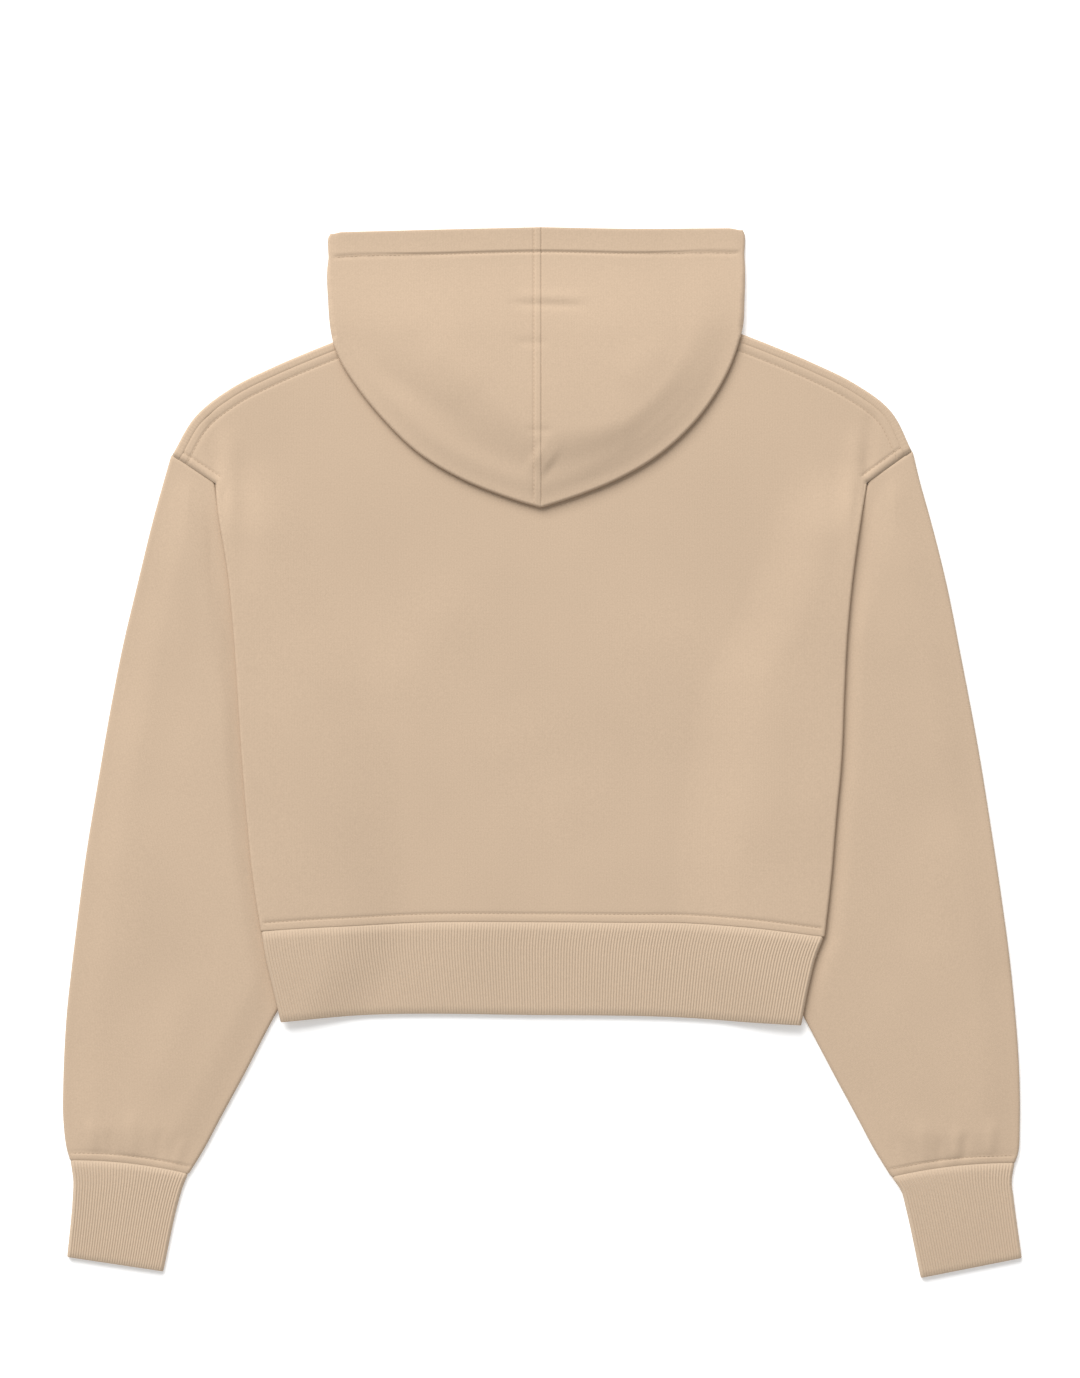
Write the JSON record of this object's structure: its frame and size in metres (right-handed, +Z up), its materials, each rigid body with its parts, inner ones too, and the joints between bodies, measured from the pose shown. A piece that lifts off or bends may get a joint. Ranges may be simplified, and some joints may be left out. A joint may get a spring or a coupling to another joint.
{
  "type": "cropped hoodie, laid flat",
  "caption": "Cropped pullover hoodie laid flat on its front, hood lying on the back, long full sleeves, ribbed cuffs and hem band.",
  "frame": {"origin": "on the surface the garment lies on, under the middle of its outline", "axes": "+Z up from the surface, +Y from the hem towards the hood, +X towards the wearer's right sleeve as the back is seen from above"},
  "size_m": [0.6905, 0.7567, 0.0117],
  "materials": {
    "sweatshirt_cloth": "matt sand-coloured loopback cotton with a fine knit surface",
    "rib_knit": "matt sand-coloured rib knit, a rib every 2.1 mm"
  },
  "bodies": {
    "root": {"front_panel": "sweatshirt_cloth", "back_panel": "sweatshirt_cloth", "sleeve_left": "sweatshirt_cloth", "sleeve_right": "sweatshirt_cloth", "cuff_left": "rib_knit", "cuff_right": "rib_knit", "hem_rib": "rib_knit", "hood_left": "sweatshirt_cloth", "hood_right": "sweatshirt_cloth"}
  },
  "joints": []
}
